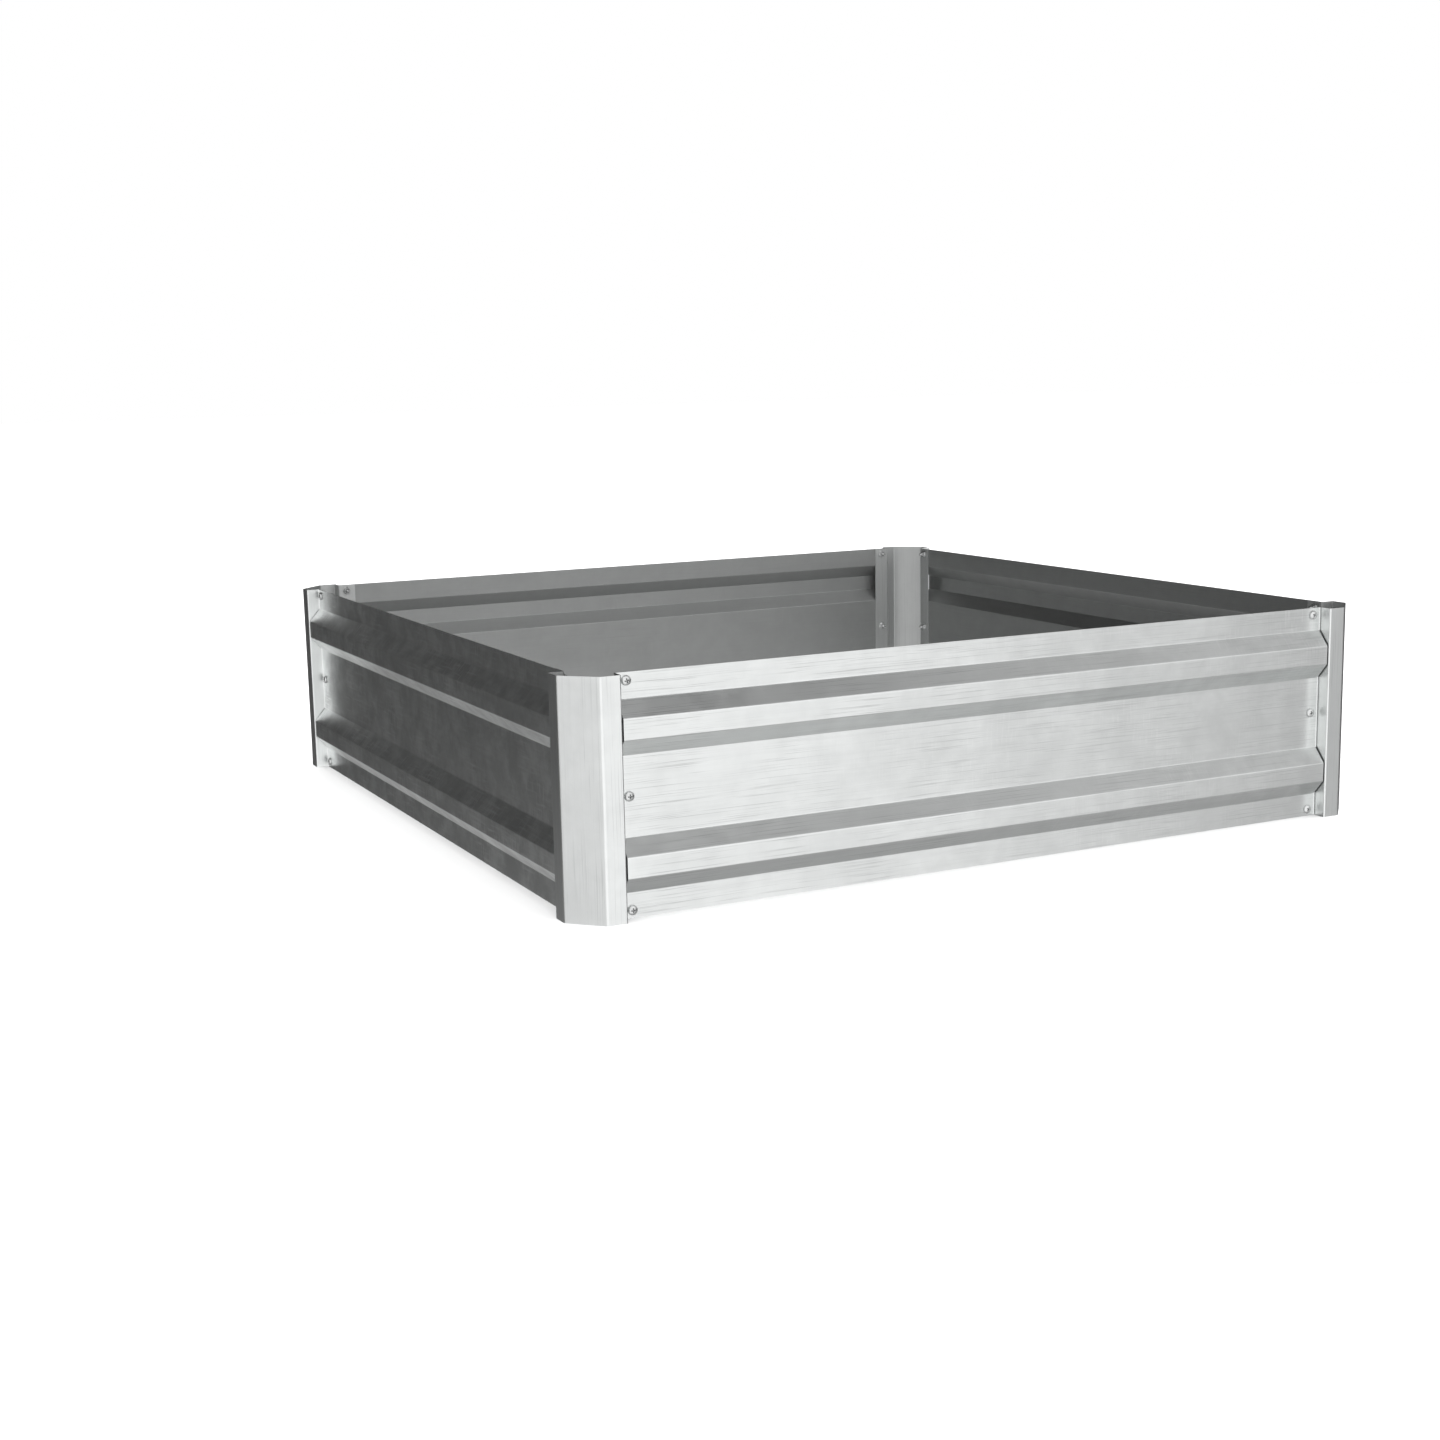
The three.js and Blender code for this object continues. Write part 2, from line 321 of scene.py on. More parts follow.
def make_mesh(name, points, faces, uv=None, layers=None):
    """A shaded object from arrays. faces is a list of arrays of vertex numbers, uv has a pair for
    each corner of each face and layers has a number for each vertex under each name."""
    mesh = bpy.data.meshes.new(name)
    corners = np.concatenate([f.ravel() for f in faces]).astype(np.int32)
    sizes = np.concatenate([np.full(len(f), f.shape[1]) for f in faces]).astype(np.int32)
    mesh.vertices.add(len(points))
    mesh.vertices.foreach_set("co", np.asarray(points, np.float32).ravel())
    mesh.loops.add(len(corners))
    mesh.loops.foreach_set("vertex_index", corners)
    mesh.polygons.add(len(sizes))
    mesh.polygons.foreach_set("loop_start", np.cumsum(sizes) - sizes)
    mesh.update(calc_edges=True)
    if uv is not None:
        grain = mesh.uv_layers.new(name="grain")
        grain.uv.foreach_set("vector", np.asarray(uv, np.float32).ravel())
    for key, values in (layers or {}).items():
        layer = mesh.attributes.new(key, "FLOAT", "POINT")
        layer.data.foreach_set("value", np.asarray(values, np.float32))
    if mesh.validate():
        raise RuntimeError(f"{name} isn't a clean mesh")
    mesh.polygons.foreach_set("use_smooth", np.ones(len(sizes), bool))
    mesh.set_sharp_from_angle(angle=SHARP_ANGLE)
    piece = bpy.data.objects.new(name, mesh)
    bpy.context.scene.collection.objects.link(piece)
    return piece


def sheet_points(section, stations, swell):
    """The two faces of a swept sheet, as grids of (across, along, height of the section).

    near(i, j) = near_i + normal_i * swell(i, j), and far the same, so the thickness stays even.
    """
    normal = section.near - section.far
    normal /= np.linalg.norm(normal, axis=1)[:, None]
    lift = (section.swell[:, None] * swell)[..., None] * normal[:, None, :]
    near = section.near[:, None, :] + lift
    far = section.far[:, None, :] + lift
    along = np.broadcast_to(stations[None, :, None], near.shape[:2] + (1,))
    return np.concatenate([near, along], -1), np.concatenate([far, along], -1)


def sheet_object(name, section, stations, swell, place, grain_start, weather_and_sheen):
    """A closed sheet: the near face, the far face, two long edges and two ends. weather_and_sheen
    gives its weathering and painted sheen at the first and at the last station.

    place turns an array of (section x, section y, along) into points. The grain's UV runs along
    the stations, in metres, and across the flattened sheet. The stored edge is 1 - distance to
    the nearest edge / reach, from 0 to 1.
    """
    near, far = sheet_points(section, stations, swell)
    rows, columns = near.shape[:2]
    count = rows * columns
    index = np.arange(count).reshape(rows, columns)
    both = np.stack([index, index + count])
    uv = np.stack(np.broadcast_arrays(stations[None, :], section.way[:, None]), -1).reshape(-1, 2)
    uv = uv + np.asarray(grain_start)
    uv = np.concatenate([uv, uv + (0.0, 2 * section.way[-1])])
    faces = [
        grid_quads(index),
        grid_quads(index + count)[:, ::-1],
        grid_quads(both[:, 0, :])[:, ::-1],
        grid_quads(both[:, -1, :]),
        grid_quads(both[:, :, 0]),
        grid_quads(both[:, :, -1])[:, ::-1],
    ]
    corner_uv = [uv[f] for f in faces[:2]] + [uv[f % count] for f in faces[2:]]
    corner_uv = np.concatenate([c.reshape(-1, 2) for c in corner_uv])
    to_edge = np.minimum(section.way, section.way[-1] - section.way)
    to_end = np.minimum(stations - stations[0], stations[-1] - stations)
    edge = np.clip(1 - np.minimum.outer(to_edge, to_end) / EDGE_REACH, 0, 1)
    layers = {
        "edge": np.tile(edge.ravel(), 2),
        "bend": np.tile(np.repeat(section.bend, columns), 2),
        "inside": np.repeat([0.0, 1.0], count),
        "weather_and_sheen": np.tile(np.interp(stations, stations[[0, -1]], weather_and_sheen), 2 * rows),
    }
    points = place(np.concatenate([near.reshape(-1, 3), far.reshape(-1, 3)]))
    return make_mesh(name, points, faces, corner_uv, layers)


def turned(points, side):
    """Points turned about Z by as many quarter turns as the side's number."""
    cos, sin = ((1, 0), (0, 1), (-1, 0), (0, -1))[side]
    x, y, z = points[..., 0], points[..., 1], points[..., 2]
    return np.stack([cos * x - sin * y, sin * x + cos * y, z], -1)


def soft_waves(u, v, seed):
    """A smooth field from -1 to 1: the mean of plane waves with random directions, lengths and
    phases."""
    dice = np.random.default_rng(seed)
    total = np.zeros(np.broadcast(u, v).shape)
    for _ in range(WAVES):
        angle, phase = dice.uniform(0, math.tau, 2)
        wave = dice.uniform(*WAVE_LENGTHS)
        total += np.sin(math.tau * (u * math.cos(angle) + v * math.sin(angle)) / wave + phase)
    return total / WAVES


def dress(piece, node, material):
    """Lets a piece stand for its node, on the body, with the slot's finish."""
    piece.data.materials.append(material)
    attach(piece, BODY)
    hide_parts(node)


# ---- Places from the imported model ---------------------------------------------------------


def box_of(node):
    """A node's lowest and highest corners."""
    return np.array(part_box(node))


def facing_axis(side):
    """The axis that a side faces along: Y for the front and the back, X for the others."""
    return 1 - side % 2


def reach_of(node, axis):
    """How far from the middle a node reaches along an axis."""
    return np.abs(box_of(node)[:, axis]).max()


# ---- Shader nodes -------------------------------------------------------------------------

# Where the Mix node keeps the factor, the two colours and their mix.
MIX_INPUTS = (0, 6, 7)
MIX_OUTPUT = 2


def feed(tree, socket, value):
    """Links an output to an input, or sets the input to a number, a vector or a colour."""
    if isinstance(value, bpy.types.NodeSocket):
        tree.links.new(value, socket)
    elif socket.type == "RGBA":
        socket.default_value = (*value, 1.0)
    else:
        socket.default_value = value


def math_node(tree, operation, *values, clamp=False):
    """A Math node fed with outputs or numbers. Returns its output."""
    node = tree.nodes.new("ShaderNodeMath")
    node.operation, node.use_clamp = operation, clamp
    for socket, value in zip(node.inputs, values):
        feed(tree, socket, value)
    return node.outputs[0]


def times(tree, *factors):
    """The product of outputs or numbers, clamped to 0 and 1."""
    product = factors[0]
    for factor in factors[1:]:
        product = math_node(tree, "MULTIPLY", product, factor, clamp=True)
    return product


def vector_node(tree, operation, vector, other):
    """A Vector Math node fed with a vector and another, or for SCALE a number. Returns its
    outputs."""
    node = tree.nodes.new("ShaderNodeVectorMath")
    node.operation = operation
    feed(tree, node.inputs[0], vector)
    feed(tree, node.inputs["Scale"] if operation == "SCALE" else node.inputs[1], other)
    return node.outputs


def in_sizes(tree, vector, size):
    """A vector counted in the given size."""
    return vector_node(tree, "SCALE", vector, math_node(tree, "DIVIDE", 1.0, size))["Vector"]


def in_grains(tree, vector, along, across):
    """A vector whose part along the grain is counted in one size and that across it in another."""
    sizes = tree.nodes.new("ShaderNodeCombineXYZ")
    for socket, size in zip(sizes.inputs, (along, across)):
        feed(tree, socket, math_node(tree, "DIVIDE", 1.0, size))
    return vector_node(tree, "MULTIPLY", vector, sizes.outputs[0])["Vector"]


def noise(tree, vector, scale, detail=2.0, roughness=0.5, distortion=0.0):
    """The value of a Noise Texture."""
    node = tree.nodes.new("ShaderNodeTexNoise")
    for label, value in (("Vector", vector), ("Scale", scale), ("Detail", detail),
                         ("Roughness", roughness), ("Distortion", distortion)):
        feed(tree, node.inputs[label], value)
    return node.outputs["Fac"]


def ramp(tree, value, low, high, to_low=0.0, to_high=1.0, eased=True):
    """A value moved from one range to another and held at its ends."""
    node = tree.nodes.new("ShaderNodeMapRange")
    node.interpolation_type = "SMOOTHSTEP" if eased else "LINEAR"
    for label, number in (("Value", value), ("From Min", low), ("From Max", high),
                          ("To Min", to_low), ("To Max", to_high)):
        feed(tree, node.inputs[label], number)
    return node.outputs["Result"]


def mix_colour(tree, *values):
    """Two colours mixed by a factor, which comes first."""
    node = tree.nodes.new("ShaderNodeMix")
    node.data_type = "RGBA"
    for place, value in zip(MIX_INPUTS, values):
        feed(tree, node.inputs[place], value)
    return node.outputs[MIX_OUTPUT]


def stored(tree, name):
    """A number stored on the mesh."""
    node = tree.nodes.new("ShaderNodeAttribute")
    node.attribute_name = name
    return node.outputs["Fac"]


def bump(tree, shader, height, distance):
    """A Bump node on the shader's normal."""
    node = tree.nodes.new("ShaderNodeBump")
    feed(tree, node.inputs["Distance"], distance)
    feed(tree, node.inputs["Height"], height)
    feed(tree, shader.inputs["Normal"], node.outputs[0])


# ---- Shader groups ------------------------------------------------------------------------

# The ranges of noise that each effect shows in. A patch is where an effect shows at all.
STREAK_RANGE = (0.54, 0.66)
STREAK_PATCH = (0.32, 0.56)
BAND_RANGE = (0.42, 0.72)
STROKE_RANGE = (0.5, 0.74)
STROKE_PATCH = (0.38, 0.66)
WEAR_HIGHLIGHT_RANGE = (0.3, 0.7)

# Lumps of noise in each metre: the streaks' drift, the patches, and the breaks in the edge wear
# and painted edge highlight.
DRIFT_SCALE = 4.0
STREAK_PATCH_SCALE = 7.0
STROKE_PATCH_SCALE = 9.0
WEAR_HIGHLIGHT_SCALE = 60.0

# What the streaks' vector is multiplied by for the soft bands, which are longer and five times
# as wide.
BAND_STRETCH = (0.7, 0.2, 1.0)

# How much edge wear and painted highlight is left where the noise breaks it most.
WEAR_HIGHLIGHT_LEAST = 0.55

# Each stain's scale, detail, roughness and distortion, and the range that it shows in.
STAINS = {
    "Cloud": ((1.0, 4.0, 0.5, 0.35), (0.36, 0.7)),
    "Mottle": ((4.5, 3.0, 0.5, 0.25), (0.36, 0.7)),
    "Bloom": ((2.3, 5.0, 0.6, 0.2), (0.4, 0.72)),
}


def new_group(name, numbers, outputs):
    """An empty shader group that reads a vector and the given numbers, with their defaults, and
    puts out numbers. Returns the group, what it reads and what it puts out."""
    group = bpy.data.node_groups.new(name, "ShaderNodeTree")
    group.interface.new_socket("Vector", in_out="INPUT", socket_type="NodeSocketVector")
    for label, value in numbers.items():
        socket = group.interface.new_socket(label, in_out="INPUT", socket_type="NodeSocketFloat")
        socket.default_value = value
    for label in outputs:
        group.interface.new_socket(label, in_out="OUTPUT", socket_type="NodeSocketFloat")
    start, end = group.nodes.new("NodeGroupInput"), group.nodes.new("NodeGroupOutput")
    return group, start.outputs, end.inputs


def streak_group(name):
    """Streaks along the grain: fine ones in loose patches and soft wide bands. Both are noise drawn
    out to the given sizes in metres, on a grain that wanders a little."""
    group, start, end = new_group(name, {"Along": 0.2, "Across": 0.0015, "Wander": 0.004},
                                  ("Dark", "Band", "Height"))
    drift = noise(group, start["Vector"], DRIFT_SCALE, detail=1.0)
    shift = group.nodes.new("ShaderNodeCombineXYZ")
    feed(group, shift.inputs["Y"], math_node(group, "MULTIPLY", drift, start["Wander"]))
    wandered = vector_node(group, "ADD", start["Vector"], shift.outputs[0])["Vector"]
    drawn_out = in_grains(group, wandered, start["Along"], start["Across"])
    fine = noise(group, drawn_out, 1.0, detail=2.5, roughness=0.6)
    wide = vector_node(group, "MULTIPLY", drawn_out, BAND_STRETCH)["Vector"]
    patch = ramp(group, noise(group, start["Vector"], STREAK_PATCH_SCALE), *STREAK_PATCH)
    dark = ramp(group, fine, *STREAK_RANGE)
    feed(group, end["Dark"], math_node(group, "MULTIPLY", dark, patch))
    feed(group, end["Band"], ramp(group, noise(group, wide, 1.0, detail=3.0), *BAND_RANGE))
    feed(group, end["Height"], fine)
    return group


def stain_group(name):
    """Soft weather stains in two sizes and a finer bloom, worked out in metres."""
    group, start, end = new_group(name, {"Size": 0.12}, STAINS)
    place = in_sizes(group, start["Vector"], start["Size"])
    for label, (texture, shown) in STAINS.items():
        feed(group, end[label], ramp(group, noise(group, place, *texture), *shown))
    return group


def stroke_group(name):
    """Fine strokes in loose patches, drawn out to the given sizes in metres."""
    group, start, end = new_group(name, {"Along": 0.003, "Across": 0.028}, ("Mark",))
    drawn_out = in_grains(group, start["Vector"], start["Along"], start["Across"])
    mark = ramp(group, noise(group, drawn_out, 1.0), *STROKE_RANGE)
    patch = ramp(group, noise(group, start["Vector"], STROKE_PATCH_SCALE), *STROKE_PATCH)
    feed(group, end["Mark"], math_node(group, "MULTIPLY", mark, patch))
    return group


def crystal_group(name):
    """Zinc crystals: cells of the given size in metres, each with its own even value."""
    group, start, end = new_group(name, {"Size": 0.006}, ("Cell",))
    cells = group.nodes.new("ShaderNodeTexVoronoi")
    feed(group, cells.inputs["Vector"], in_sizes(group, start["Vector"], start["Size"]))
    feed(group, cells.inputs["Scale"], 1.0)
    parts = group.nodes.new("ShaderNodeSeparateColor")
    feed(group, parts.inputs[0], cells.outputs["Color"])
    feed(group, end["Cell"], parts.outputs[0])
    return group


def wear_and_highlight_group(name):
    """Bends and cut edges painted lighter, partly as wear and partly as a painted highlight: the
    larger of the bend and the edge squared, times the amount, broken up by fine noise."""
    group, start, end = new_group(name, {"Edge": 0.0, "Bend": 0.0, "Amount": 0.5}, ("Bright",))
    grain = noise(group, start["Vector"], WEAR_HIGHLIGHT_SCALE, detail=1.5)
    broken = ramp(group, grain, *WEAR_HIGHLIGHT_RANGE, to_low=WEAR_HIGHLIGHT_LEAST)
    edge = math_node(group, "POWER", start["Edge"], 2.0)
    edges_and_bends = math_node(group, "MAXIMUM", edge, start["Bend"], clamp=True)
    worn_and_lit = math_node(group, "MULTIPLY", edges_and_bends, broken)
    feed(group, end["Bright"], math_node(group, "MULTIPLY", worn_and_lit, start["Amount"]))
    return group


GROUPS = {
    "Rolling streaks": streak_group,
    "Weather stains": stain_group,
    "Fine strokes": stroke_group,
    "Zinc crystals": crystal_group,
    "Edge wear and highlight": wear_and_highlight_group,
}


def place_group(tree, name, **values):
    """A node of the group of that name, which is built the first time, with its inputs fed by
    name. Returns its outputs."""
    node = tree.nodes.new("ShaderNodeGroup")
    node.node_tree = bpy.data.node_groups.get(name) or GROUPS[name](name)
    for label, value in values.items():
        feed(tree, node.inputs[label], value)
    return node.outputs


# ---- Zinc finishes ------------------------------------------------------------------------

# How light each effect is beside the clean coat.
STAIN_SHADE = 0.78
# The bloom and the strokes are painted lighter, partly as a sheen.
BLOOM_SHEEN_SHADE = 1.25
CROSS_STROKE_SHEEN_SHADE = 1.3
GRAIN_STROKE_SHEEN_SHADE = 1.25
BAND_SHADE = 0.86
STREAK_SHADE = 0.74
CRYSTAL_SHADE = 0.8
# A painted highlight on bends and cut edges, together with their wear.
EDGE_HIGHLIGHT_SHADE = 1.15
# Painted shade on the inner faces.
INNER_PAINTED_SHADE = 0.38
DULL_SHADE = 0.78
# Painted shade in the hollows of the bolts and nuts.
HOLLOW_PAINTED_SHADE = 0.42

# How strong the effects without a setting of their own are.
MOTTLE = 0.8
BAND = 0.25
CRYSTAL = 0.05
SPECK = 0.4
CLOUD = 0.5
# The last is the strength of the painted shade in the hollows.
HOLLOW = 0.75

# What the effects add to the roughness where they are strongest.
STAIN_ROUGHNESS = 0.04
MOTTLE_ROUGHNESS = 0.03
STREAK_ROUGHNESS = 0.03
CRYSTAL_ROUGHNESS = 0.02
INNER_ROUGHNESS = 0.18
CLOUD_ROUGHNESS = 0.14
HOLLOW_ROUGHNESS = 0.2

# The plate's specks and clouds: lumps of noise in each metre, and the ranges that they show in.
SPECK_SCALE = 900.0
SPECK_RANGE = (0.55, 0.8)
CLOUD_SCALE = 170.0
CLOUD_RANGE = (0.35, 0.7)

# The stains that clean sheet has, and the share of its streaks that the weather and sheen value
# takes away.
CLEAN_STAINS = 0.05
LOST_STREAKS = 0.8

# Sizes of the pale strokes, along the grain and across it.
CROSS_STROKE = (0.003, 0.028)
GRAIN_STROKE = (0.045, 0.004)

# The bump's height, and the mottle's share of it beside the streaks.
SHEET_BUMP = 0.00005
MOTTLE_BUMP = 0.35
PLATE_BUMP = 0.00002


def steel_material(name):
    """An empty metal material. Returns the material, its tree and its Principled shader."""
    material = bpy.data.materials.new(name)
    material.use_nodes = True
    tree = material.node_tree
    shader = tree.nodes["Principled BSDF"]
    feed(tree, shader.inputs["Metallic"], 1.0)
    return material, tree, shader


def paint(tree, shader, coat, layers):
    """The shader's colour: the coat under layers, each one a mask and a lightness beside the
    clean coat, up to white."""
    colour = coat
    for mask, shade in layers:
        colour = mix_colour(tree, mask, colour, tuple(min(1.0, part * shade) for part in coat))
    feed(tree, shader.inputs["Base Color"], colour)


def roughen(tree, shader, clean, layers):
    """The shader's roughness: the clean one, and what each mask adds to it."""
    roughness = clean
    for mask, amount in layers:
        roughness = math_node(tree, "MULTIPLY_ADD", mask, amount, roughness, clamp=True)
    feed(tree, shader.inputs["Roughness"], roughness)


def galvanised_sheet(name, piece, finish):
    """Galvanised sheet: a bright zinc coat with streaks along the rolling direction, soft stains,
    faint crystals, pale strokes that are partly a painted sheen, bends and edges painted lighter
    as wear and as a painted highlight, and an inner face that is rougher and painted darker as a
    painted shade. piece holds the settings of the panels or of the posts. Stains, strokes and sheen
    grow with the stored weather and sheen, and streaks fade with it."""
    material, tree, shader = steel_material(name)
    grain = tree.nodes.new("ShaderNodeUVMap")
    grain.uv_map = "grain"
    vector = grain.outputs[0]
    streak = place_group(tree, "Rolling streaks", Vector=vector, Along=piece.streak_length,
                         Across=piece.streak_width)
    stain = place_group(tree, "Weather stains", Vector=vector, Size=piece.stain_size)
    cross, along = (place_group(tree, "Fine strokes", Vector=vector, Along=size[0], Across=size[1])
                    for size in (CROSS_STROKE, GRAIN_STROKE))
    crystal = place_group(tree, "Zinc crystals", Vector=vector)
    # Bends and cut edges painted lighter, partly as wear and partly as a painted highlight.
    lit_worn_edges = place_group(tree, "Edge wear and highlight", Vector=vector, Edge=stored(tree, "edge"),
                      Bend=stored(tree, "bend"), Amount=finish.edge_wear_and_highlight)
    inside = stored(tree, "inside")
    weather_and_sheen = stored(tree, "weather_and_sheen")
    stained = math_node(tree, "MULTIPLY_ADD", weather_and_sheen, (1 - CLEAN_STAINS) * finish.stains,
                        CLEAN_STAINS * finish.stains)
    streak_strength = math_node(tree, "MULTIPLY_ADD", weather_and_sheen, -LOST_STREAKS, 1.0)
    paint(tree, shader, tuple(piece.colour), (
        (times(tree, stain["Cloud"], stained), STAIN_SHADE),
        (times(tree, stain["Mottle"], stained, MOTTLE), STAIN_SHADE),
        # Pale bloom and strokes grow with the weather and sheen value. They are partly wear and
        # partly a painted sheen.
        (times(tree, stain["Bloom"], weather_and_sheen, finish.strokes), BLOOM_SHEEN_SHADE),
        (times(tree, cross["Mark"], weather_and_sheen, finish.strokes), CROSS_STROKE_SHEEN_SHADE),
        (times(tree, along["Mark"], weather_and_sheen, finish.strokes), GRAIN_STROKE_SHEEN_SHADE),
        (times(tree, streak["Band"], BAND * piece.streaks), BAND_SHADE),
        (times(tree, streak["Dark"], streak_strength, piece.streaks), STREAK_SHADE),
        (times(tree, crystal["Cell"], CRYSTAL), CRYSTAL_SHADE),
        # Painted highlight on the bends and cut edges, together with their wear.
        (lit_worn_edges["Bright"], EDGE_HIGHLIGHT_SHADE),
        # Painted shade darkens the inner faces.
        (times(tree, inside, piece.inside), INNER_PAINTED_SHADE),
    ))
    roughen(tree, shader, finish.roughness, (
        (stain["Cloud"], STAIN_ROUGHNESS),
        (stain["Mottle"], MOTTLE_ROUGHNESS),
        (streak["Dark"], STREAK_ROUGHNESS),
        (crystal["Cell"], CRYSTAL_ROUGHNESS),
        (inside, INNER_ROUGHNESS),
    ))
    height = math_node(tree, "MULTIPLY_ADD", stain["Mottle"], MOTTLE_BUMP, streak["Height"])
    bump(tree, shader, height, SHEET_BUMP)
    return material


def plated_steel(name, colour, roughness):
    """Zinc plate on a small turned piece: fine mottling, rougher in the hollows, which are painted
    darker as shade.
    """
    material, tree, shader = steel_material(name)
    place = tree.nodes.new("ShaderNodeTexCoord").outputs["Object"]
    hollow = stored(tree, "hollow")
    speck = noise(tree, place, SPECK_SCALE, detail=3.0, roughness=0.6)
    cloud = noise(tree, place, CLOUD_SCALE)
    paint(tree, shader, tuple(colour), (
        (ramp(tree, cloud, *CLOUD_RANGE, to_high=CLOUD), DULL_SHADE),
        (ramp(tree, speck, *SPECK_RANGE, to_high=SPECK), DULL_SHADE),
        # Painted shade in the recess, the thread grooves and the bore.
        (times(tree, hollow, HOLLOW), HOLLOW_PAINTED_SHADE),
    ))
    roughen(tree, shader, roughness, ((cloud, CLOUD_ROUGHNESS), (hollow, HOLLOW_ROUGHNESS)))
    bump(tree, shader, speck, PLATE_BUMP)
    return material


# ---- Side panels --------------------------------------------------------------------------

# A panel stays flat over this length at each end, where it is bolted, and swells beyond it.
FLAT_END = 0.035
FLAT_EASE = 0.12

# How far on, along the grain and across it, each next panel's marks start, so that no two are
# alike.
PANEL_GRAIN = (3.1, 1.7)


def panel_route(size, height):
    """The panel's outer face as (outward reach, height) from the bottom edge to the top."""
    low = size.edge_flat
    top = low + 2 * size.rib_slope + size.rib_crest
    rib = np.array([[0, low], [size.rib_depth, low + size.rib_slope],
                    [size.rib_depth, top - size.rib_slope], [0, top]])
    upper = rib[::-1] * (1, -1) + (0, height)
    return np.concatenate([[[0, 0]], rib, upper, [[0, height]]])


def panel_face(side, settings):
    """How far from the middle the flats of a side's panel are."""
    crest = reach_of(f"panel_{SIDES[side]}", facing_axis(side))
    return crest - settings.panel.rib_depth


def make_panel(side, settings, material):
    """One side panel: its section swept along the side, with the flats swollen a little.

    swell(i, j) = wave * swell_i * waves(way_i, along_j) * window_j, where the window is 0 over the
    posts' flanges, so that the sheet stays flat where it is bolted.
    """
    size = settings.panel
    node = f"panel_{SIDES[side]}"
    low, high = box_of(node)
    half = (high - low)[side % 2] / 2
    face = panel_face(side, settings)
    section = bent_section(panel_route(size, high[2] - low[2]), size.sheet, size.bend)
    stations = np.linspace(-half, half, math.ceil(2 * half / size.column) + 1)
    window = 1 - smooth(half - FLAT_END - FLAT_EASE, half - FLAT_END, np.abs(stations))
    waves = soft_waves(stations[None, :], section.way[:, None], settings.seed + side)
    swell = size.wave * waves * window[None, :]

    def place(points):
        reach, height, along = points.T
        return turned(np.stack([-along, -(face + reach), height + low[2]], -1), side)

    start = (PANEL_GRAIN[0] * side + settings.seed, PANEL_GRAIN[1] * side)
    weather_and_sheen = size.right_weather_and_sheen[side], size.left_weather_and_sheen[side]
    piece = sheet_object(f"ribbed_{node}", section, stations, swell, place, start, weather_and_sheen)
    dress(piece, node, material)


class BED_OT_panels(Operator):
    """Builds the four ribbed side panels"""

    bl_idname = "garden_bed.panels"
    bl_label = "Side panels"

    def execute(self, context):
        settings = context.scene.garden_bed
        material = galvanised_sheet("Galvanised panel", settings.panel, settings.finish)
        for side in range(len(SIDES)):
            make_panel(side, settings, material)
        return {"FINISHED"}


# ---- Corner posts -------------------------------------------------------------------------

# What the posts' seeds for waves add to the bed's own.
POST_SEED = 20

# Where the first post's marks start along the grain, and how far on each next one's do.
POST_GRAIN_START = 11.0
POST_GRAIN = (5.3, 2.3)


def post_route(size, flange_face, flange_end):
    """The post's outer face in plan, from one flange's end to the other's. The planes of its two
    strips meet at the plan's origin."""
    inner = size.chamfer + size.strip
    half = np.array([[flange_end, flange_face], [inner, flange_face], [inner, 0],
                     [size.chamfer, 0]])
    return np.concatenate([half[:, ::-1], half[::-1]])


def make_post(side, settings, material):
    """The post at the left end of a side, seen from outside: its plan swept upwards.

    Its flange lies in the middle of the room between the panel's inner face and the nuts.
    """
    size = settings.post
    axis = facing_axis(side)
    this, before = SIDES[side], SIDES[side - 1]
    corner = f"{this}_{before}" if side % 2 == 0 else f"{before}_{this}"
    node = f"post_{corner}"
    low, high = box_of(node)
    outer = reach_of(node, axis)
    to_panel = outer - panel_face(side, settings) + settings.panel.sheet
    to_nuts = outer - reach_of(f"nut_{this}_{before}_middle", axis)
    flange_face = (to_panel + to_nuts - size.sheet) / 2
    folds = (size.root_bend, size.bend, size.corner_bend)
    section = bent_section(post_route(size, flange_face, high[0] - low[0]), size.sheet,
                           folds + folds[::-1])
    rows = math.ceil((high[2] - low[2]) / size.row)
    stations = np.linspace(low[2], high[2], rows + 1)
    swell = size.wave * soft_waves(stations[None, :], section.way[:, None],
                                   settings.seed + POST_SEED + side)
    side_reach = reach_of(node, 1 - axis)

    def place(points):
        inwards, back, height = points.T
        return turned(np.stack([inwards - side_reach, back - outer, height], -1), side)

    start = (POST_GRAIN[0] * side + POST_GRAIN_START, POST_GRAIN[1] * side)
    piece = sheet_object(f"folded_{node}", section, stations, swell, place, start,
                         (size.weather_and_sheen, size.weather_and_sheen))
    dress(piece, node, material)


class BED_OT_posts(Operator):
    """Builds the four folded corner posts"""

    bl_idname = "garden_bed.posts"
    bl_label = "Corner posts"

    def execute(self, context):
        settings = context.scene.garden_bed
        material = galvanised_sheet("Galvanised post", settings.post, settings.finish)
        for side in range(len(SIDES)):
            make_post(side, settings, material)
        return {"FINISHED"}


# ---- Turned pieces ------------------------------------------------------------------------

LEVELS = ("lower", "middle", "upper")

# The stations round a turned piece, as angles in one row.
ROUND = 48
ANGLES = np.arange(ROUND)[None, :] * math.tau / ROUND


def bolted_places():
    """Each bolted place as (side, name), such as (0, front_left_lower)."""
    for side, name in enumerate(SIDES):
        for end in (SIDES[side - 1], SIDES[(side + 1) % len(SIDES)]):
            for height in LEVELS:
                yield side, f"{name}_{end}_{height}"


def outer_end(node, side):
    """A turned piece's outer end on its axis, its length and its radius, from its node's box."""
    low, high = box_of(node)
    axis = facing_axis(side)
    end = (low + high) / 2
    end[axis] = max(low[axis], high[axis], key=abs)
    return end, high[axis] - low[axis], (high[2] - low[2]) / 2


